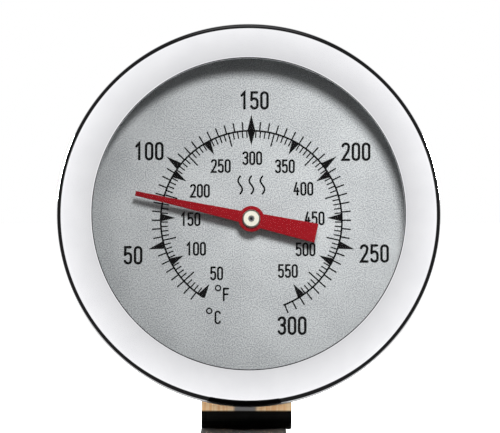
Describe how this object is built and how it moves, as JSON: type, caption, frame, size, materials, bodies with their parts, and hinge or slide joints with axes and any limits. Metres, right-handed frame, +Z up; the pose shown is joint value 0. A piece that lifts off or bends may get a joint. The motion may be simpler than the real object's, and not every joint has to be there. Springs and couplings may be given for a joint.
{
  "type": "oven thermometer",
  "caption": "Round dial oven thermometer with a red pointer turned by a bimetal coil, in a steel case on a bent strip foot.",
  "frame": {"origin": "middle of the footprint on the surface that the foot rests on", "axes": "+Z up, -Y towards the reader, the way the dial faces, and +X to the reader's right"},
  "size_m": [0.065, 0.03, 0.0696],
  "materials": {
    "bezel_steel": "polished stainless steel",
    "lens_glass": "clear toughened glass",
    "gasket_silicone": "matte silicone",
    "spacer_aluminium": "plain aluminium",
    "dial_face": "fine-grained silver anodised, printed in black",
    "case_steel": "drawn stainless steel",
    "zinc_steel": "zinc-plated steel",
    "brass": "turned brass",
    "bimetal_strip": "rolled bimetal strip",
    "spindle_steel": "ground steel",
    "pointer_paint": "satin red paint on aluminium",
    "hub_aluminium": "turned aluminium",
    "stand_steel": "bright rolled stainless steel",
    "rivet_steel": "plain stainless steel"
  },
  "bodies": {
    "case": {"bezel_ring": "bezel_steel", "lens_glass": "lens_glass", "glass_gasket": "gasket_silicone", "dial_spacer_ring": "spacer_aluminium", "dial_plate": "dial_face", "rear_case": "case_steel", "movement_bridge": "zinc_steel", "bridge_screw_left": "zinc_steel", "bridge_screw_right": "zinc_steel", "front_bush": "brass", "rear_bush": "brass", "coil_anchor_post": "brass", "bimetal_coil": "bimetal_strip", "stand_bracket": "stand_steel", "stand_rivet_upper": "rivet_steel", "stand_rivet_lower": "rivet_steel"},
    "pointer": {"pointer": "pointer_paint", "pointer_hub": "hub_aluminium", "spindle": "spindle_steel", "spindle_collar": "brass", "coil_collet": "brass"}
  },
  "joints": [
    {"name": "pointer_turn", "type": "hinge", "parent": "case", "child": "pointer", "pos_m": [0.00045, 0.00354, 0.03618], "axis": [0, 0.9945, -0.1045], "range_deg": [-70.2, 236], "stiffness_Nm_per_rad": 0.004, "deforming": ["bimetal_coil"]}
  ]
}
